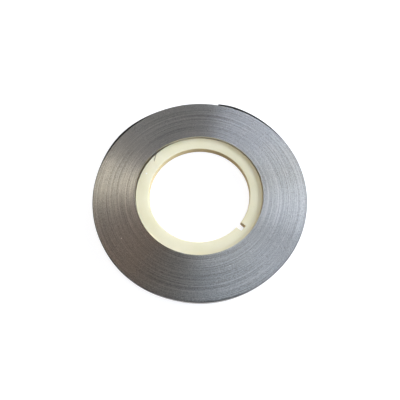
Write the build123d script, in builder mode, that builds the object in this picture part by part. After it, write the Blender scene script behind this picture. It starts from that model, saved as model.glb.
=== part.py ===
from build123d import *
import os

# A flat coil of nickel-plated steel strip, wound edge-up on a moulded plastic ring core, lying on its side.
# Millimetres and degrees. The core's axis is Z, the floor is Z = 0, and the keyway points along +X.
# Seen from above, the strip winds outwards anticlockwise, from the core's slit to the free outer end.

# Core: a ring for a 3 inch mandrel
bore_diameter = 76.2
core_wall = 9.7
core_width = 6.0
core_edge_chamfer = 1.0

# Keyway in the bore
keyway_width = 4.8
keyway_depth = 4.5
keyway_corner_radius = 0.5

# Slanting anchor slit in the core's rim, opposite the keyway, tapering to a blunt end
slit_angle = 176.5
slit_slant = 55
slit_length = 6.5
slit_mouth_width = 1.2
slit_end_width = 0.5

# Strip and its winding
strip_width = 8.0
strip_thickness = 0.2
coil_outer_diameter = 159.4
winding_clearance = 0.1

# Turn lines that show on both ends of the winding, as shares of its radial depth
turn_line_shares = (0.09, 0.2, 0.34, 0.47, 0.61, 0.74, 0.88)
turn_line_depth = 0.2

# Inner end: a hooked tongue in the slit, and the first turns standing off the core on both sides of it
tongue_clearance = 0.15
tongue_root = 3.0
spring_zones = ((60, 125, 189), (189, 220, 250))
spring_rise = 1.3
spring_rise_shares = ((0.0, 0.45, 1.0), (1.0, 0.6, 0.0))

# Outer end: a free lap that stands off the winding, and two places where the turn below it is slack
lap_angles = (78, 99, 120)
lap_gap_start = 85
lap_rise = 1.4
lap_rise_shares = (0.0, 0.6, 1.0)
slack_zones = ((150, 181, 212), (250, 274, 298))
slack_rise = 1.4
slack_zone_shares = (1.0, 0.35)

# A slack turn stands off in the middle of its arc, and the gap behind it ends blunt
bulge_shares = (0.0, 1.0, 0.0)
gap_root = 0.05

# Cuts run past the faces that they open by this much
overrun = 2.0

bore_radius = bore_diameter / 2
core_outer_radius = bore_radius + core_wall
coil_inner_radius = core_outer_radius + winding_clearance
coil_outer_radius = coil_outer_diameter / 2
coil_depth = coil_outer_radius - coil_inner_radius


def polar_point(radius, angle):
    """A point of the floor plane at a radius and an angle about the axis."""
    return Vector(radius, 0).rotate(Axis.Z, angle)


def slit_plane(height):
    """A plane with its origin at the slit's mouth and its X axis running down the slit."""
    inwards = polar_point(1, slit_angle + 180 - slit_slant)
    mouth = polar_point(core_outer_radius, slit_angle)
    return Plane(origin=mouth + Vector(0, 0, height), x_dir=inwards, z_dir=(0, 0, 1))


def turn_band(plane, inner_radius, outer_radii, angles):
    """Face between a circle about the axis and an arc through three radii at three angles."""
    outer = [polar_point(radius, angle) for radius, angle in zip(outer_radii, angles)]
    inner = [polar_point(inner_radius, angle) for angle in angles]
    with BuildSketch(plane) as band:
        with BuildLine():
            ThreePointArc(*outer)
            Line(outer[-1], inner[-1])
            ThreePointArc(*reversed(inner))
            Line(inner[0], outer[0])
        make_face()
    return band.sketch


# Core: a ring with broken edges, cut by the keyway and the slit
with BuildPart() as core:
    with BuildSketch(Plane.YZ) as core_section:
        with Locations((bore_radius + core_wall / 2, core_width / 2)):
            Rectangle(core_wall, core_width)
        chamfer(core_section.vertices(), core_edge_chamfer)
    revolve(axis=Axis.Z)
    with BuildSketch(Plane.XY.offset(-overrun)) as keyway:
        with Locations((bore_radius + keyway_depth, 0)):
            Rectangle(keyway_depth + overrun, keyway_width, align=(Align.MAX, Align.CENTER))
        fillet(keyway.vertices().group_by(Axis.X)[-1], keyway_corner_radius)
    extrude(amount=core_width + 2 * overrun, mode=Mode.SUBTRACT)
    with BuildSketch(slit_plane(-overrun)):
        with BuildLine():
            Polyline(
                (-overrun, 0),
                (slit_length, 0),
                (slit_length, -slit_end_width),
                (-overrun, -slit_mouth_width),
                close=True,
            )
        make_face()
    extrude(amount=core_width + 2 * overrun, mode=Mode.SUBTRACT)
core.part.label = "core"

# Strip coil: the turned winding with its turn lines, then the strip's two ends
line_radii = [coil_inner_radius + share * coil_depth for share in turn_line_shares]
last_turn_radius = coil_outer_radius - strip_thickness
cut_plane = Plane.XY.offset(-overrun)
cut_height = strip_width + 2 * overrun

with BuildPart() as strip_coil:
    with BuildSketch(Plane.XZ):
        with Locations((coil_inner_radius + coil_depth / 2, strip_width / 2)):
            Rectangle(coil_depth, strip_width)
        with Locations([(radius, height) for radius in line_radii for height in (0, strip_width)]):
            RegularPolygon(turn_line_depth, 4, mode=Mode.SUBTRACT)
    revolve(axis=Axis.Z)

    # The slack of the outermost turn: a bulge one strip thick, and the gap behind it
    for angles, zone_share in zip(slack_zones, slack_zone_shares):
        bulge_radii = [coil_outer_radius + share * zone_share * slack_rise for share in bulge_shares]
        gap_radii = [radius - strip_thickness for radius in bulge_radii]
        extrude(turn_band(Plane.XY, last_turn_radius, bulge_radii, angles), amount=strip_width)
        slack_gap = turn_band(cut_plane, last_turn_radius - gap_root, gap_radii, angles)
        extrude(slack_gap, amount=cut_height, mode=Mode.SUBTRACT)

    # The free end: a lap one strip thick over a wedge of air, cut off square
    lap_radii = [coil_outer_radius + share * lap_rise for share in lap_rise_shares]
    wedge_radii = [coil_outer_radius, *[radius - strip_thickness for radius in lap_radii[1:]]]
    extrude(turn_band(Plane.XY, last_turn_radius, lap_radii, lap_angles), amount=strip_width)
    wedge = turn_band(cut_plane, coil_outer_radius - gap_root, wedge_radii, (lap_gap_start, *lap_angles[1:]))
    extrude(wedge, amount=cut_height, mode=Mode.SUBTRACT)

    # The inner end: the gap where the first turns stand off the core, and the tongue in the slit
    for angles, shares in zip(spring_zones, spring_rise_shares):
        spring_radii = [coil_inner_radius + share * spring_rise for share in shares]
        spring_gap = turn_band(cut_plane, core_outer_radius, spring_radii, angles)
        extrude(spring_gap, amount=cut_height, mode=Mode.SUBTRACT)
    with BuildSketch(slit_plane(0)):
        with Locations((-tongue_root, -tongue_clearance)):
            tongue_size = (tongue_root + slit_length - tongue_clearance, strip_thickness)
            Rectangle(*tongue_size, align=(Align.MIN, Align.MAX))
    extrude(amount=strip_width)
strip_coil.part.label = "strip_coil"

os.makedirs("parts", exist_ok=True)
export_step(core.part, "parts/core.step")
export_step(strip_coil.part, "parts/strip_coil.step")
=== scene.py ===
import math

import bpy
import numpy as np
from mathutils import Matrix, Vector
from mathutils.geometry import delaunay_2d_cdt

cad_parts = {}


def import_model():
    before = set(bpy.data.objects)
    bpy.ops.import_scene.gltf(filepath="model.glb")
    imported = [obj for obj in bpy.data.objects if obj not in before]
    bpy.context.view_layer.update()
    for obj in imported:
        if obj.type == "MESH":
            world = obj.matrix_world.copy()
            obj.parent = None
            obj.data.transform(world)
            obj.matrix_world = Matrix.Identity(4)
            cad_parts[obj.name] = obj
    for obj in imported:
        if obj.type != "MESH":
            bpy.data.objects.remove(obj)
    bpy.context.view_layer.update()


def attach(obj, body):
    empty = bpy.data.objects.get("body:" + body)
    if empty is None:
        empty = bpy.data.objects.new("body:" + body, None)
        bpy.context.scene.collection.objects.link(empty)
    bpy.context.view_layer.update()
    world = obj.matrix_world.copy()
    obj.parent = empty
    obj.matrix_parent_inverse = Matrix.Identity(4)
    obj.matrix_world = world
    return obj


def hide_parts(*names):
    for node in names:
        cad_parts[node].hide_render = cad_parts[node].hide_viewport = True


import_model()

MM = 0.001
RNG = np.random.default_rng(20)

# Sizes are in millimetres and angles in degrees, unless a comment says otherwise

# The core: bore, rim and width
BORE_R = 38.1
CORE_R = 47.8
CORE_H = 6.0
OUTLINE_POINTS = 221

# The keyway: half its width, how far out it reaches, and its rounded corners
KEY_HALF = 2.4
KEY_END = 42.6
KEY_ROUND = 0.5
KEY_SIDE = (39.5, 41.0)
KEY_CORNER = (90, 67, 45, 22, 0)

# The slit: a straight side, a rounded end and a slanting side that opens towards the rim
SLIT_ANGLE = 176.5
SLIT_SLANT = 55.0
SLIT_LENGTH = 6.5
SLIT_END = 0.5
SLIT_BULGE = 0.2
SLIT_MOUTH = 0.9
SLIT_OVERRUN = 2.0
SLIT_STRAIGHT = (0.08, 0.3, 0.6, 0.9, 1.0)
SLIT_SLANTING = (0.0, 0.1, 0.4, 0.7, 0.92)

# The rounding of the core's edges
RIM_ROUND = 0.3
BORE_ROUND = 0.35
KEY_EDGE = 0.3
SLIT_EDGE = 0.12
ROUND_STEPS = 5

# The crown of the core's ends: where it is highest, and the fall from there to the bore and to the rim
CROWN_TOP = 43.8
CROWN_IN = 0.45
CROWN_OUT = 0.15

# The net on the core's ends: distance from the bore and the rim, steps, and distance from any outline
NET_IN = 1.5
NET_OUT = 1.2
NET_STEP = 1.0
NET_DEGREES = 2
NET_CLEAR = 0.5

# The strip and its winding: steps to a turn, whole tight turns and the steps after them
STRIP_W = 8.0
STRIP_T = 0.2
COIL_IN = 47.85
COIL_OUT = 79.5
SEGS = 80
TURNS = 156
LAST_SEGS = 67

# A turn's edges: corner, middle and shoulder as shares of the pitch, the slopes between, and the grooves
EDGE_AT = (0.05, 0.5, 0.9)
ROLL_OFF = (5.0, 24.0)
GROOVE = 0.13
BELLY_AT = 0.5
UNDER_GROOVE = 0.09

# How far the turns stay below the strip's width, and how uneven they are: amount, turns wide, degrees long
TOP_BELOW = 0.07
TOP_UNEVEN = ((0.022, 1.6, 40.0), (0.022, 7.0, 72.0))
LEAN = 2.2
LEAN_UNEVEN = ((0.8, 1.5, 72.0), (0.6, 1.0, 24.0))
UNDER_UNEVEN = ((0.02, 3.0, 60.0),)
UNDER_MOST = 0.06

# The first turns stand off the core: start, middle and end angle, rise, and the turns over which it fades
SPRING = (150.0, 192.0, 245.0, 1.0, 70.0)

# The loose outermost turn: where it starts, its gap, the degrees over which that opens, and its wavy top
LOOSE_START = 120.0
LOOSE_POINTS = 361
LOOSE_CLEAR = 0.012
LOOSE_GAP = 0.10
LOOSE_OPENING = 14.0
LOOSE_THICK = STRIP_T - 0.02
LOOSE_LOW = 0.03
LOOSE_TOP = STRIP_W - 0.06
LOOSE_WAVE = (0.03, 2.3, 40.0)

# Where the loose turn is slack: start, middle and end angle, and rise
SLACK = ((150.0, 181.0, 212.0, 1.4), (250.0, 274.0, 298.0, 0.5), (298.0, 322.0, 346.0, 0.3))

# The lap at its free end: start, highest and tip angle, rise, fall towards the tip, and the rise's curve
LAP = (432.0, 470.0, 480.0, 1.5, 0.7)
LAP_CURVE = 1.1

# The tongue: its points along the slit, then the fold as angle and radius, and the height at each point
TONGUE_ALONG = (SLIT_LENGTH - 0.3, 4.0, 2.0, 0.6, -0.5, -1.2)
TONGUE_SIDE = 0.3
TONGUE_FOLD = ((175.4, 48.85), (176.6, 49.03), (178.5, 49.07), (182.0, 49.05))
TONGUE_TOP = (5.6, 5.8, 5.9, 6.1, 6.6, 7.2, 7.5, 7.7, 7.85, 7.85)
TONGUE_THICK = STRIP_T - 0.04
TONGUE_LOW = 0.05

# Rings of lighter and darker turns: radius and how much lighter
RINGS = (
    (51.4, 0.05), (55.6, 0.07), (57.0, -0.14), (59.2, 0.12), (64.7, -0.10),
    (66.5, 0.16), (68.0, -0.08), (69.7, 0.12), (71.0, -0.10), (78.0, -0.08),
)
RING_HALF = 0.45
RING_BASE = 0.8
RIM_FROM = 79.0
RIM_TONE = 0.42

# The edges' texture: changes round the axis and to a metre outwards, detail and share
EDGE_RINGS = (1.0, 2500.0, 1.5, 0.52)
EDGE_GRAIN = (90.0, 2000.0, 1.0, 0.48)

# The edges' tones by that texture, and a range of it with the roughness at both ends
EDGE_TONES = ((0.38, (0.37, 0.354, 0.315)), (0.5, (0.55, 0.526, 0.47)), (0.62, (0.73, 0.698, 0.63)))
EDGE_ROUGH = (0.38, 0.62, 0.52, 0.40)

# Pale specks on the edges: cells to a metre, the share of cells left out, size in a cell and colour
SPECK_CELLS = 170.0
SPECK_RARE = 0.86
SPECK_SIZE = 0.075
SPECK_COLOUR = (1.0, 0.98, 0.92, 1.0)

# The strip's faces: streaks and clouds to a metre, their shares, tones, and the two radii of a painted
# reflection of the cream core on the inner wall
FACE_STREAKS = (40.0, 40.0, 1500.0)
FACE_CLOUDS = 90.0
FACE_SHARES = (0.6, 0.4)
# The faces' tones are darker than plain nickel: painted shade for the dark gaps between turns and along the
# rim
FACE_TONES_AND_SHADE = ((0.35, (0.23, 0.215, 0.20)), (0.65, (0.32, 0.305, 0.285)))
FACE_ROUGH = (0.35, 0.65, 0.42, 0.32)
INNER_REFLECTION_TONE = (0.68, 0.64, 0.57, 1.0)
INNER_REFLECTION_RADII = (50.0, 60.0)

# The core's plastic: clouds, grain and dark specks to a metre, and their tones
CREAM_CLOUDS = 60.0
CREAM_GRAIN = 900.0
CREAM_SPECKS = 160.0
CREAM_TONES = ((0.3, (0.835, 0.76, 0.475)), (0.7, (0.888, 0.81, 0.55)))
CREAM_DARK = ((0.0, (0.62, 0.6, 0.5)), (0.06, (1.0, 1.0, 1.0)))
CREAM_DARK_SHARE = 0.6

# One pale spot beside the slit, in metres: its place, and the distances over which it fades to nothing
PALE_SPOT = (-0.0414, -0.0146, 0.006)
PALE_SPOT_FADE = (0.0003, 0.0009, 0.7, 0.0)
PALE_SPOT_COLOUR = (1.0, 1.0, 0.96, 1.0)

# Painted shade on the core's walls and rounded edges: an ochre tint by how upright the surface stands, for
# the brown shade they fall in; the range of the normal's height over which the colour goes back to cream
WALL_SHADE_RANGE = (0.35, 0.97, 0.0, 1.0)
WALL_SHADE_TONES = ((0.0, (0.76, 0.65, 0.49)), (1.0, (1.0, 1.0, 1.0)))

# The floor: half its size, height, how far in metres it looks for cover, glow by open sky, and colours
FLOOR_HALF = 6000.0
FLOOR_Z = -0.02
FLOOR_REACH = 0.014
FLOOR_GLOW = (0.06, 0.3, 0.0, 0.86)
FLOOR_GREY = (0.3, 0.3, 0.3, 1.0)
FLOOR_BOUNCE = (0.2, 0.125, 0.055, 1.0)

# The room by height: pale along the horizon, dim and warm above
ROOM = (
    (0.0, (0.95, 0.95, 0.95)),
    (0.20, (0.9, 0.9, 0.9)),
    (0.40, (0.075, 0.056, 0.04)),
    (1.0, (0.04, 0.03, 0.022)),
)

# Lamps, in metres: name, angle in the photo's view, elevation, width and height, and colour times strength
LAMPS = (
    ("window_right", 5.0, 19.0, (0.42, 0.26), (8.3, 9.8, 12.8)),
    ("window_middle", 33.0, 19.0, (0.42, 0.26), (5.1, 6.0, 7.5)),
    ("window_back", 63.0, 24.0, (0.42, 0.26), (3.3, 4.05, 5.7)),
    ("window_front", 329.0, 18.0, (0.42, 0.17), (6.5, 7.1, 8.8)),
    ("window_far", 88.0, 18.0, (0.42, 0.17), (0.75, 0.75, 0.85)),
    ("front_fill", 308.0, 50.0, (0.95, 0.40), (0.20, 0.42, 0.80)),
    ("warm_sill", 40.0, 9.0, (1.20, 0.13), (4.2, 3.6, 2.4)),
    ("warm_wall", 146.0, 28.0, (0.28, 0.20), (5.2, 5.0, 4.2)),
    ("warm_fill", 168.0, 50.0, (1.20, 0.40), (0.22, 0.09, 0.01)),
    ("ceiling", 0.0, 80.0, (0.28, 0.28), (3.6, 3.75, 4.0)),
)
LAMP_DISTANCE = 0.8
LAMP_WATTS = 4.0

# The photo's camera, fitted to the edges of the rims and the bore; its clip distances are in metres
CAM_AZ = 43.65
CAM_EL = 68.13
CAM_ROLL = -2.48
CAM_DIST = 256.1
CAM_AIM = (4.90, -4.61, 8.0)
CAM_LENS = 31.16
CAM_SENSOR = 36.0
CAM_CLIP = (0.01, 50.0)


def turn(angle, radius=1.0):
    """A point at an angle in degrees and a radius about the axis."""
    a = math.radians(angle)
    return np.array((radius * math.cos(a), radius * math.sin(a)))


def link(name, data):
    """A new object in the scene."""
    obj = bpy.data.objects.new(name, data)
    bpy.context.scene.collection.objects.link(obj)
    return obj


def new_mesh(name, verts, faces):
    """A smooth object from points in millimetres and faces."""
    mesh = bpy.data.meshes.new(name)
    mesh.from_pydata((np.asarray(verts) * MM).tolist(), [], faces)
    mesh.validate()
    mesh.polygons.foreach_set("use_smooth", np.ones(len(mesh.polygons), dtype=bool))
    return link(name, mesh)


def mark_sharp(mesh, pairs):
    """Marks the edges between these pairs of points as sharp."""
    ends = np.empty(len(mesh.edges) * 2, dtype=np.int64)
    mesh.edges.foreach_get("vertices", ends)
    ends = np.sort(ends.reshape(-1, 2), axis=1)
    pairs = np.sort(pairs, axis=1)
    size = len(mesh.vertices)
    sharp = np.isin(ends[:, 0] * size + ends[:, 1], pairs[:, 0] * size + pairs[:, 1])
    mesh.attributes.new("sharp_edge", "BOOLEAN", "EDGE").data.foreach_set("value", sharp)


def ease(t):
    """0 to 1 with level ends."""
    return t * t * (3 - 2 * t)


def hump(x, start, middle, end):
    """0 at both ends, 1 in the middle, smooth everywhere."""
    up = np.clip((x - start) / (middle - start), 0, 1)
    down = np.clip((end - x) / (end - middle), 0, 1)
    return ease(np.minimum(up, down))


def ring_noise(turns, degrees, width, arc):
    """Smooth noise over the winding, about 1 high: some turns wide and some degrees of arc long."""
    rows = int(turns.max() / width) + 2
    columns = round(360 / arc)
    grid = RNG.standard_normal((rows, columns))
    u = turns / width
    v = (degrees % 360) / 360 * columns
    i, j = u.astype(int), v.astype(int)
    fu, fv = ease(u - i), ease(v - j)
    j, k = j % columns, (j + 1) % columns
    near = grid[i, j] * (1 - fu) + grid[i + 1, j] * fu
    far = grid[i, k] * (1 - fu) + grid[i + 1, k] * fu
    return near * (1 - fv) + far * fv


def uneven(turns, degrees, layers):
    """Layers of noise over the winding, added up."""
    return sum(amount * ring_noise(turns, degrees, width, arc) for amount, width, arc in layers)


def quads(count, *corners):
    """Faces in a row: the first face's corners, each stepping one point a face."""
    steps = np.arange(count)
    return np.column_stack([corner + steps for corner in corners])


def tight_turns():
    """The turns up to the loose one: points, faces, flat-face flags, sharp edges, end radius and pitch."""
    steps = TURNS * SEGS + LAST_SEGS
    total = steps + SEGS
    pitch = (COIL_OUT - COIL_IN) / (total / SEGS)
    at = np.arange(total + 1)
    turns = at / SEGS
    degrees = LOOSE_START - 360.0 * (steps - at) / SEGS
    start, peak, end, rise, fade = SPRING
    depth = np.clip(1 - turns / fade, 0, 1) ** 2
    radius = COIL_IN + pitch * turns + rise * depth * hump(degrees % 360, start, peak, end)

    # Each turn's top edge: a narrow groove, an inner corner and a face that rolls off outwards
    height = np.minimum(STRIP_W - TOP_BELOW + uneven(turns, degrees, TOP_UNEVEN), STRIP_W)
    lean = LEAN * uneven(turns, degrees, LEAN_UNEVEN)
    below = np.abs(uneven(turns, degrees, UNDER_UNEVEN)).clip(0, UNDER_MOST)
    to_corner, to_middle, to_shoulder = EDGE_AT
    middle_fall = (to_middle - to_corner) * pitch * np.tan(np.radians(ROLL_OFF[0] + lean))
    shoulder_slope = np.tan(np.radians(ROLL_OFF[1] + lean))
    shoulder_fall = middle_fall + (to_shoulder - to_middle) * pitch * shoulder_slope
    inner = radius[: steps + 1]
    width = radius[SEGS: total + 1] - inner
    cos, sin = np.cos(np.radians(degrees)), np.sin(np.radians(degrees))

    def row(reach, z):
        count = len(reach)
        return np.column_stack((reach * cos[:count], reach * sin[:count], z[:count]))

    rows = [
        row(radius, height - GROOVE),
        row(inner + to_corner * width, height),
        row(inner + to_middle * width, height - middle_fall),
        row(inner + to_shoulder * width, height - shoulder_fall),
        row(radius, np.full(total + 1, UNDER_GROOVE)),
        row(inner + BELLY_AT * width, below),
    ]
    firsts = np.cumsum([0] + [len(points) for points in rows[:-1]])
    groove, corner, middle, shoulder, under, belly = (int(first) for first in firsts)
    edges = [
        quads(steps, groove, corner, corner + 1, groove + 1),
        quads(steps, corner, middle, middle + 1, corner + 1),
        quads(steps, middle, shoulder, shoulder + 1, middle + 1),
        quads(steps, shoulder, groove + SEGS, groove + SEGS + 1, shoulder + 1),
        quads(steps, under, under + 1, belly + 1, belly),
        quads(steps, belly, belly + 1, under + SEGS + 1, under + SEGS),
    ]
    walls = [
        quads(SEGS, groove, groove + 1, under + 1, under),
        quads(SEGS, groove + steps, under + steps, under + steps + 1, groove + steps + 1),
    ]
    faces = np.vstack(edges + walls).tolist()
    faces.append([under, belly, under + SEGS, groove + SEGS, shoulder, middle, corner, groove])
    faces.append([
        groove + steps, corner + steps, middle + steps, shoulder + steps,
        groove + total, under + total, belly + steps, under + steps,
    ])
    flat = [0] * (len(edges) * steps) + [1] * (len(walls) * SEGS + 2)
    hard = [quads(total, line, line + 1) for line in (groove, under)]
    hard += [quads(steps, line, line + 1) for line in (corner, shoulder)]
    return np.vstack(rows), faces, flat, np.vstack(hard), radius[steps], pitch


def ribbon(rad, r_in, thick, low, high):
    """A closed strip along an arc about the axis, with softened upper and lower edges."""
    soft = 0.045
    dip = 0.004
    section = (
        (0.0, soft, low), (0.0, -soft, high), (0.3 * thick, 0.0, high), (0.7 * thick, -dip, high),
        (thick, -soft, high), (thick, soft, low), (0.7 * thick, 0.0, low), (0.3 * thick, 0.0, low),
    )
    walls = (0, 4)
    corners = (0, 1, 4, 5)
    m, n = len(section), len(rad)
    verts = np.empty((n, m, 3))
    for j, (out, up, level) in enumerate(section):
        verts[:, j, 0] = (r_in + out) * np.cos(rad)
        verts[:, j, 1] = (r_in + out) * np.sin(rad)
        verts[:, j, 2] = level + up
    faces, flat = [], []
    for i in range(n - 1):
        for j in range(m):
            k = (j + 1) % m
            faces.append([i * m + j, i * m + k, (i + 1) * m + k, (i + 1) * m + j])
            flat.append(int(j in walls))
    faces.append(list(reversed(range(m))))
    faces.append([(n - 1) * m + j for j in range(m)])
    flat += [1, 1]
    i = np.arange(n - 1)
    hard = np.vstack([np.column_stack((i * m + j, (i + 1) * m + j)) for j in corners])
    return verts.reshape(-1, 3), faces, flat, hard


def sheet(line, thick, low, high):
    """A closed upright strip along a line of points in the plane."""
    n = len(line)
    ahead = np.gradient(line, axis=0)
    ahead /= np.linalg.norm(ahead, axis=1)[:, None]
    out = np.column_stack((-ahead[:, 1], ahead[:, 0])) * thick / 2
    verts = np.empty((n, 4, 3))
    for j, (sign, z) in enumerate(((-1, low), (-1, high), (1, high), (1, low))):
        verts[:, j, :2] = line + sign * out
        verts[:, j, 2] = z
    faces, hard = [], []
    for i in range(n - 1):
        for j in range(4):
            k = (j + 1) % 4
            faces.append([i * 4 + j, (i + 1) * 4 + j, (i + 1) * 4 + k, i * 4 + k])
            hard.append((i * 4 + j, (i + 1) * 4 + j))
    faces.append([0, 1, 2, 3])
    faces.append([(n - 1) * 4 + j for j in (3, 2, 1, 0)])
    return verts.reshape(-1, 3), faces, [1] * len(faces), np.array(hard)


def loose_turn(start_radius, pitch):
    """The outermost turn: slack in three places, with its free end standing off as a lap."""
    t = np.linspace(LOOSE_START, LOOSE_START + 360.0, LOOSE_POINTS)
    r_in = start_radius + pitch * (t - LOOSE_START) / 360.0 + LOOSE_CLEAR
    r_in += LOOSE_GAP * ease(np.clip((t - LOOSE_START) / LOOSE_OPENING, 0, 1))
    for begin, middle, finish, high in SLACK:
        r_in += high * hump(t, begin, middle, finish)
    begin, peak, tip, rise, fall = LAP
    r_in += rise * np.clip((t - begin) / (peak - begin), 0, 1) ** LAP_CURVE
    r_in -= fall * np.clip((t - peak) / (tip - peak), 0, 1) ** 2
    amount, pace, offset = LOOSE_WAVE
    top = LOOSE_TOP + amount * np.sin(np.radians(t * pace + offset))
    return ribbon(np.radians(t), r_in, LOOSE_THICK, LOOSE_LOW, top)


def slit_axes():
    """Where the slit's straight side meets the rim, the way into the slit, and the way across it."""
    origin = turn(SLIT_ANGLE, CORE_R)
    inwards = turn(SLIT_ANGLE + 180 - SLIT_SLANT)
    side = np.array((-inwards[1], inwards[0]))
    return origin, inwards, side


def tongue():
    """The strip's inner end: along the slit's straight side, then folded into the first turn at the mouth."""
    origin, inwards, side = slit_axes()
    along = np.array(TONGUE_ALONG)
    line = origin + along[:, None] * inwards - TONGUE_SIDE * side
    fold = [turn(angle, radius) for angle, radius in TONGUE_FOLD]
    return sheet(np.vstack((line, fold)), TONGUE_THICK, TONGUE_LOW, np.array(TONGUE_TOP))


def wound_strip():
    """The whole strip as one mesh: the tight turns, the loose outermost turn and the tongue in the slit."""
    verts, faces, flat, hard, start_radius, pitch = tight_turns()
    hard = [hard]
    for part_verts, part_faces, part_flat, part_hard in (loose_turn(start_radius, pitch), tongue()):
        base = len(verts)
        verts = np.vstack((verts, part_verts))
        faces += [[i + base for i in face] for face in part_faces]
        flat += part_flat
        hard.append(part_hard + base)
    obj = new_mesh("wound_strip", verts, faces)
    obj.data.polygons.foreach_set("material_index", np.array(flat, dtype=np.int32))
    mark_sharp(obj.data, np.vstack(hard))
    return obj


def rim_outline():
    """The core's rim with the slit in it: points, and the rounding at each."""
    origin, inwards, side = slit_axes()
    far = origin + SLIT_LENGTH * inwards - SLIT_END * side
    out = origin - SLIT_OVERRUN * inwards - SLIT_MOUTH * side
    # How much of the slit's slanting side lies inside the rim, by halving
    halvings = 50
    inside, outside = 0.0, 1.0
    for _ in range(halvings):
        share = (inside + outside) / 2
        if np.linalg.norm(far + share * (out - far)) < CORE_R:
            inside = share
        else:
            outside = share
    slant = inside * (out - far)
    leave = far + slant
    first = math.degrees(math.atan2(leave[1], leave[0])) % 360
    rim = [turn(angle, CORE_R) for angle in np.linspace(first, SLIT_ANGLE + 360, OUTLINE_POINTS)]
    rounds = [RIM_ROUND] * len(rim)
    rounds[0] = rounds[-1] = SLIT_EDGE
    slit = [origin + share * SLIT_LENGTH * inwards for share in SLIT_STRAIGHT]
    slit.append(origin + (SLIT_LENGTH + SLIT_BULGE) * inwards - 0.5 * SLIT_END * side)
    slit += [far + share * slant for share in SLIT_SLANTING]
    rounds += [SLIT_EDGE] * len(slit)
    return np.array(rim + slit), np.array(rounds)


def bore_outline():
    """The core's bore with the keyway in it: points, and the rounding at each."""
    edge = math.degrees(math.asin(KEY_HALF / BORE_R))
    bore = [turn(angle, BORE_R) for angle in np.linspace(-edge, edge - 360, OUTLINE_POINTS)]
    rounds = [BORE_ROUND] * len(bore)
    rounds[0] = rounds[-1] = KEY_EDGE
    centre = np.array((KEY_END - KEY_ROUND, KEY_HALF - KEY_ROUND))
    key = [np.array((x, KEY_HALF)) for x in KEY_SIDE]
    key += [centre + turn(angle, KEY_ROUND) for angle in KEY_CORNER]
    key += [point * (1, -1) for point in key[::-1]]
    rounds += [KEY_EDGE] * len(key)
    return np.array(bore + key), np.array(rounds)


def rounded_rings(points, rounds):
    """An outline's copies from the core's lower end to its upper, set in at both ends to round the edges."""
    ahead = np.roll(points, -1, axis=0) - points
    ahead /= np.linalg.norm(ahead, axis=1)[:, None]
    normal = np.column_stack((ahead[:, 1], -ahead[:, 0]))
    before = np.roll(normal, 1, axis=0)
    miter = (normal + before) / (1 + np.sum(normal * before, axis=1)).clip(0.5)[:, None]
    slopes = [math.pi / 2 * i / ROUND_STEPS for i in range(ROUND_STEPS + 1)]
    rings = []
    for upper, angles in ((False, slopes[::-1]), (True, slopes)):
        for angle in angles:
            inset = rounds * (1 - math.cos(angle))
            drop = rounds * (1 - math.sin(angle))
            z = CORE_H - drop if upper else drop
            rings.append(np.column_stack((points - miter * inset[:, None], z)))
    return rings


def within(point, loop):
    """Whether a point of the plane lies inside a closed loop of points."""
    after = np.roll(loop, -1, axis=0)
    cross = (loop[:, 1] > point[1]) != (after[:, 1] > point[1])
    a, b = loop[cross], after[cross]
    x = a[:, 0] + (point[1] - a[:, 1]) / (b[:, 1] - a[:, 1]) * (b[:, 0] - a[:, 0])
    return np.count_nonzero(x > point[0]) % 2 == 1


def fill_end(rim, bore, numbers, base, upper):
    """One end of the core as triangles on a net of points, for the crown: the points added and the faces."""
    border = np.vstack((rim, bore))[:, :2]
    radii = np.arange(BORE_R + NET_IN, CORE_R - NET_OUT, NET_STEP)
    net = [turn(angle, radius) for radius in radii for angle in range(0, 360, NET_DEGREES)]
    inside = [p for p in net if np.min(np.linalg.norm(border - p, axis=1)) > NET_CLEAR]
    points = [Vector(p) for p in np.vstack((border, inside))]
    m, n = len(rim), len(bore)
    edges = [(i, (i + 1) % m) for i in range(m)] + [(m + i, m + (i + 1) % n) for i in range(n)]
    flat, _, triangles, origins, _, _ = delaunay_2d_cdt(points, edges, [], 1, 1e-6)
    number, added, faces = {}, [], []
    for new, old in enumerate(origins):
        if old and old[0] < len(numbers):
            number[new] = numbers[old[0]]
        else:
            number[new] = base + len(added)
            added.append((flat[new][0], flat[new][1], rim[0, 2]))
    for triangle in triangles:
        p, q, r = (flat[i] for i in triangle)
        if within((p + q + r) / 3, bore[:, :2]):
            continue
        area = (q[0] - p[0]) * (r[1] - p[1]) - (q[1] - p[1]) * (r[0] - p[0])
        face = [number[i] for i in triangle]
        faces.append(face[::-1] if (area < 0) == upper else face)
    return added, faces


def core_ring():
    """The moulded ring with its keyway and slit, softly rounded edges and crowned ends."""
    outlines = [rounded_rings(*rim_outline()), rounded_rings(*bore_outline())]
    starts = (0, len(outlines[0]) * len(outlines[0][0]))
    verts = np.vstack(outlines[0] + outlines[1])
    faces = []
    for rings, start in zip(outlines, starts):
        count = len(rings[0])
        for i in range(len(rings) - 1):
            low, high = start + i * count, start + (i + 1) * count
            for j in range(count):
                k = (j + 1) % count
                faces.append([low + j, low + k, high + k, high + j])
    for upper in (False, True):
        end = -1 if upper else 0
        numbers = []
        for rings, start in zip(outlines, starts):
            count = len(rings[0])
            first = start + (len(rings) - 1) * count if upper else start
            numbers += range(first, first + count)
        added, end_faces = fill_end(outlines[0][end], outlines[1][end], numbers, len(verts), upper)
        verts = np.vstack((verts, added))
        faces += end_faces
    radius = np.hypot(verts[:, 0], verts[:, 1])
    fall = CROWN_IN * np.clip((CROWN_TOP - radius) / (CROWN_TOP - BORE_R), 0, 1) ** 2
    fall += CROWN_OUT * np.clip((radius - CROWN_TOP) / (CORE_R - CROWN_TOP), 0, 1) ** 2
    verts[:, 2] += np.where(verts[:, 2] > CORE_H / 2, -fall, fall)
    obj = new_mesh("core_ring", verts, faces)
    weighted = obj.modifiers.new("weighted_normals", "WEIGHTED_NORMAL")
    weighted.weight = 90
    return obj


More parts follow.
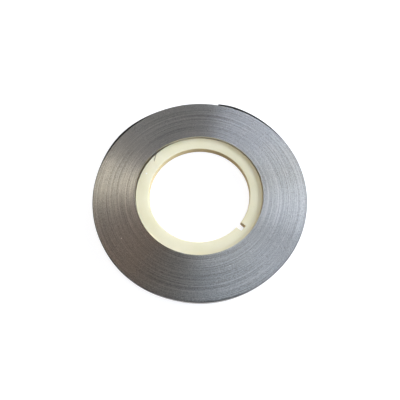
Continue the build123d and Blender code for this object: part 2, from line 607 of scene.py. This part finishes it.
class Nodes:
    """Short calls for building a node tree."""

    def __init__(self, tree):
        self.tree = tree
        tree.nodes.clear()

    def add(self, kind, inputs=None, **settings):
        node = self.tree.nodes.new(kind)
        for name, value in settings.items():
            setattr(node, name, value)
        for name, value in (inputs or {}).items():
            self.put(node.inputs[name], value)
        return node

    def put(self, socket, value):
        if isinstance(value, bpy.types.NodeSocket):
            self.tree.links.new(value, socket)
        else:
            socket.default_value = value

    def math(self, operation, a, b=0.0):
        return self.add("ShaderNodeMath", {0: a, 1: b}, operation=operation).outputs[0]

    def vector(self, operation, a, b=(0.0, 0.0, 0.0)):
        return self.add("ShaderNodeVectorMath", {0: a, 1: b}, operation=operation).outputs

    def split(self, vector):
        return self.add("ShaderNodeSeparateXYZ", {"Vector": vector}).outputs

    def range(self, value, low, high, to_low, to_high):
        limits = {"From Min": low, "From Max": high, "To Min": to_low, "To Max": to_high}
        return self.add("ShaderNodeMapRange", {"Value": value, **limits}).outputs[0]

    def ramp(self, factor, stops):
        node = self.add("ShaderNodeValToRGB", {"Fac": factor})
        while len(node.color_ramp.elements) < len(stops):
            node.color_ramp.elements.new(0.5)
        for element, (place, colour) in zip(node.color_ramp.elements, stops):
            element.position = place
            element.color = (*colour, 1.0)
        return node.outputs["Color"]

    def blend(self, factor, first, second, how="MIX"):
        inputs = {"Factor": factor, 6: first, 7: second}
        return self.add("ShaderNodeMix", inputs, data_type="RGBA", blend_type=how).outputs[2]

    def add_shares(self, first, first_share, second, second_share):
        return self.math(
            "ADD", self.math("MULTIPLY", first, first_share), self.math("MULTIPLY", second, second_share)
        )

    def place(self):
        return self.add("ShaderNodeTexCoord").outputs["Object"]

    def noise(self, place, scale, detail):
        inputs = {"Vector": place, "Scale": scale, "Detail": detail}
        return self.add("ShaderNodeTexNoise", inputs).outputs["Fac"]

    def bump(self, height, strength, distance):
        inputs = {"Height": height, "Strength": strength, "Distance": distance}
        return self.add("ShaderNodeBump", inputs).outputs[0]

    def flatten(self, place):
        return self.vector("MULTIPLY", place, (1.0, 1.0, 0.0))["Vector"]

    def radius(self, place):
        return self.vector("LENGTH", self.flatten(place))["Value"]

    def polar(self, place, around, across):
        """Coordinates that run round the axis and out from it, for streaks that follow the turns."""
        way = self.split(self.vector("NORMALIZE", self.flatten(place))["Vector"])
        return self.add("ShaderNodeCombineXYZ", {
            "X": self.math("MULTIPLY", way["X"], around),
            "Y": self.math("MULTIPLY", way["Y"], around),
            "Z": self.math("MULTIPLY", self.radius(place), across),
        }).outputs[0]

    def principled(self, inputs):
        shader = self.add("ShaderNodeBsdfPrincipled", inputs)
        self.add("ShaderNodeOutputMaterial", {"Surface": shader.outputs[0]})


def new_material(name):
    """An empty material and its nodes."""
    material = bpy.data.materials.new(name)
    material.use_nodes = True
    return material, Nodes(material.node_tree)


def ring_tones(nodes, place):
    """The rings of lighter and darker turns and the dark rim, by radius."""
    reach = COIL_OUT - COIL_IN
    stops = []
    for at, lift in RINGS:
        for offset, share in ((-RING_HALF, 0.0), (0.0, lift), (RING_HALF, 0.0)):
            stops.append(((at + offset - COIL_IN) / reach, (RING_BASE * (1 + share),) * 3))
    stops.append(((RIM_FROM - COIL_IN) / reach, (RING_BASE,) * 3))
    stops.append((1.0, (RING_BASE * RIM_TONE,) * 3))
    return nodes.ramp(nodes.range(nodes.radius(place), COIL_IN * MM, COIL_OUT * MM, 0.0, 1.0), stops)


def nickel_edges():
    """The strip's slit edges, side by side: fine rings that follow the turns, grain and a few pale specks."""
    material, nodes = new_material("nickel_edges")
    place = nodes.place()
    around, across, detail, ring_share = EDGE_RINGS
    rings = nodes.noise(nodes.polar(place, around, across), 1.0, detail)
    around, across, detail, grain_share = EDGE_GRAIN
    grain = nodes.noise(nodes.polar(place, around, across), 1.0, detail)
    mix = nodes.add_shares(rings, ring_share, grain, grain_share)
    tone = nodes.blend(1.0, nodes.ramp(mix, EDGE_TONES), ring_tones(nodes, place), "MULTIPLY")
    cell = nodes.add("ShaderNodeTexVoronoi", {"Vector": place, "Scale": SPECK_CELLS}).outputs
    draw = nodes.add("ShaderNodeSeparateColor", {"Color": cell["Color"]}).outputs["Red"]
    chosen = nodes.math("GREATER_THAN", draw, SPECK_RARE)
    speck = nodes.math("MULTIPLY", nodes.math("LESS_THAN", cell["Distance"], SPECK_SIZE), chosen)
    nodes.principled({
        "Base Color": nodes.blend(speck, tone, SPECK_COLOUR),
        "Metallic": 1.0,
        "Roughness": nodes.range(mix, *EDGE_ROUGH),
        "Anisotropic": 0.7,
        "Anisotropic Rotation": 0.25,
        "Tangent": nodes.add("ShaderNodeTangent", direction_type="RADIAL", axis="Z").outputs[0],
    })
    return material


def nickel_faces():
    """The strip's rolled and plated faces: smooth, with faint lengthwise streaks, darkened as painted shade,
    and paler and warmer on the inner wall as a painted reflection of the cream core.
    """
    material, nodes = new_material("nickel_faces")
    place = nodes.place()
    stretched = nodes.add("ShaderNodeMapping", {"Vector": place, "Scale": FACE_STREAKS}).outputs[0]
    streaks = nodes.noise(stretched, 1.0, 3.0)
    streak_share, cloud_share = FACE_SHARES
    mix = nodes.add_shares(streaks, streak_share, nodes.noise(place, FACE_CLOUDS, 2.0), cloud_share)
    pale_to, dark_from = (radius * MM for radius in INNER_REFLECTION_RADII)
    # Painted reflection: the faces grow paler and warmer towards the inner wall, standing in for the cream
    # core mirrored in it
    inner = nodes.range(nodes.radius(place), pale_to, dark_from, 1.0, 0.0)
    nodes.principled({
        "Base Color": nodes.blend(inner, nodes.ramp(mix, FACE_TONES_AND_SHADE), INNER_REFLECTION_TONE),
        "Metallic": 1.0,
        "Roughness": nodes.range(mix, *FACE_ROUGH),
        "Normal": nodes.bump(streaks, 0.06, 0.0001),
    })
    return material


def plastic():
    """The core's cream plastic: cloudy, faintly specked and grained, with painted ochre shade on its walls
    and one pale spot.
    """
    material, nodes = new_material("core_cream")
    place = nodes.place()
    cream = nodes.ramp(nodes.noise(place, CREAM_CLOUDS, 3.0), CREAM_TONES)
    specks = nodes.add("ShaderNodeTexVoronoi", {"Vector": place, "Scale": CREAM_SPECKS}).outputs["Distance"]
    colour = nodes.blend(CREAM_DARK_SHARE, cream, nodes.ramp(specks, CREAM_DARK), "MULTIPLY")
    away = nodes.vector("DISTANCE", place, PALE_SPOT)["Value"]
    colour = nodes.blend(nodes.range(away, *PALE_SPOT_FADE), colour, PALE_SPOT_COLOUR)
    normal = nodes.add("ShaderNodeNewGeometry").outputs["Normal"]
    level = nodes.math("ABSOLUTE", nodes.split(normal)["Z"])
    # Painted shade: upright walls and rounded edges are tinted ochre, darker the more upright they stand
    walls = nodes.ramp(nodes.range(level, *WALL_SHADE_RANGE), WALL_SHADE_TONES)
    nodes.principled({
        "Base Color": nodes.blend(1.0, colour, walls, "MULTIPLY"),
        "Roughness": 0.42,
        "IOR": 1.5,
        "Specular IOR Level": 0.15,
        "Subsurface Weight": 0.08,
        "Subsurface Radius": (1.0, 0.75, 0.4),
        "Subsurface Scale": 0.001,
        "Normal": nodes.bump(nodes.noise(place, CREAM_GRAIN, 2.0), 0.05, 0.0002),
    })
    return material


def floor():
    """A plain white floor that shows white to the camera and in reflections, and keeps a faint shadow."""
    corners = [(x * FLOOR_HALF, y * FLOOR_HALF, FLOOR_Z) for x, y in ((-1, -1), (1, -1), (1, 1), (-1, 1))]
    obj = new_mesh("floor", corners, [[0, 1, 2, 3]])
    material, nodes = new_material("floor_white")
    path = nodes.add("ShaderNodeLightPath").outputs
    mirrored = nodes.math("MAXIMUM", path["Is Glossy Ray"], path["Is Transmission Ray"])
    seen = nodes.math("MAXIMUM", path["Is Camera Ray"], mirrored)
    open_sky = nodes.add("ShaderNodeAmbientOcclusion", {"Distance": FLOOR_REACH}, samples=8).outputs["AO"]
    glow = nodes.range(open_sky, *FLOOR_GLOW)
    white = nodes.add("ShaderNodeEmission", {"Color": (1.0, 1.0, 1.0, 1.0), "Strength": glow}).outputs[0]
    catch = nodes.add("ShaderNodeBsdfDiffuse", {"Color": FLOOR_GREY}).outputs[0]
    shown = nodes.add("ShaderNodeAddShader", {0: white, 1: catch}).outputs[0]
    bounce = nodes.add("ShaderNodeBsdfDiffuse", {"Color": FLOOR_BOUNCE}).outputs[0]
    mix = nodes.add("ShaderNodeMixShader", {0: seen, 1: bounce, 2: shown}).outputs[0]
    nodes.add("ShaderNodeOutputMaterial", {"Surface": mix})
    obj.data.materials.append(material)


def world():
    """A dim warm room, pale along the horizon."""
    room = bpy.data.worlds.new("room")
    bpy.context.scene.world = room
    room.use_nodes = True
    nodes = Nodes(room.node_tree)
    way = nodes.add("ShaderNodeTexCoord").outputs["Generated"]
    colour = nodes.ramp(nodes.split(way)["Z"], ROOM)
    back = nodes.add("ShaderNodeBackground", {"Color": colour, "Strength": 1.0}).outputs[0]
    nodes.add("ShaderNodeOutputWorld", {"Surface": back})


def lamp(name, view_angle, elevation, size, colour):
    """A soft panel at an angle of the photo's view, facing the coil."""
    data = bpy.data.lights.new(name, "AREA")
    data.shape = "RECTANGLE"
    data.size, data.size_y = size
    data.energy = LAMP_WATTS * size[0] * size[1]
    data.color = colour
    obj = link(name, data)
    flat = turn(view_angle + CAM_AZ)
    e = math.radians(elevation)
    way = Vector((flat[0] * math.cos(e), flat[1] * math.cos(e), math.sin(e)))
    obj.location = way * LAMP_DISTANCE
    obj.rotation_euler = way.to_track_quat("Z", "Y").to_euler()
    obj.visible_camera = False


def camera():
    """A camera where the photo's stood, rolled as it was."""
    data = bpy.data.cameras.new("photo_camera")
    data.sensor_width = CAM_SENSOR
    data.lens = CAM_LENS
    data.clip_start, data.clip_end = CAM_CLIP
    obj = link("photo_camera", data)
    az, el, roll = (math.radians(angle) for angle in (CAM_AZ, CAM_EL, CAM_ROLL))
    back = Vector((math.sin(az) * math.cos(el), -math.cos(az) * math.cos(el), math.sin(el)))
    level = Vector((math.cos(az), math.sin(az), 0.0))
    rise = back.cross(level)
    right = level * math.cos(roll) + rise * math.sin(roll)
    up = back.cross(right)
    matrix = Matrix((right, up, back)).transposed().to_4x4()
    matrix.translation = (Vector(CAM_AIM) + back * CAM_DIST) * MM
    obj.matrix_world = matrix
    bpy.context.scene.camera = obj


strip = wound_strip()
strip.data.materials.append(nickel_edges())
strip.data.materials.append(nickel_faces())
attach(strip, "root")
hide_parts("strip_coil")

core = core_ring()
core.data.materials.append(plastic())
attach(core, "root")
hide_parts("core")

floor()
world()
for lamp_values in LAMPS:
    lamp(*lamp_values)
camera()
bpy.context.scene.view_settings.view_transform = "Standard"
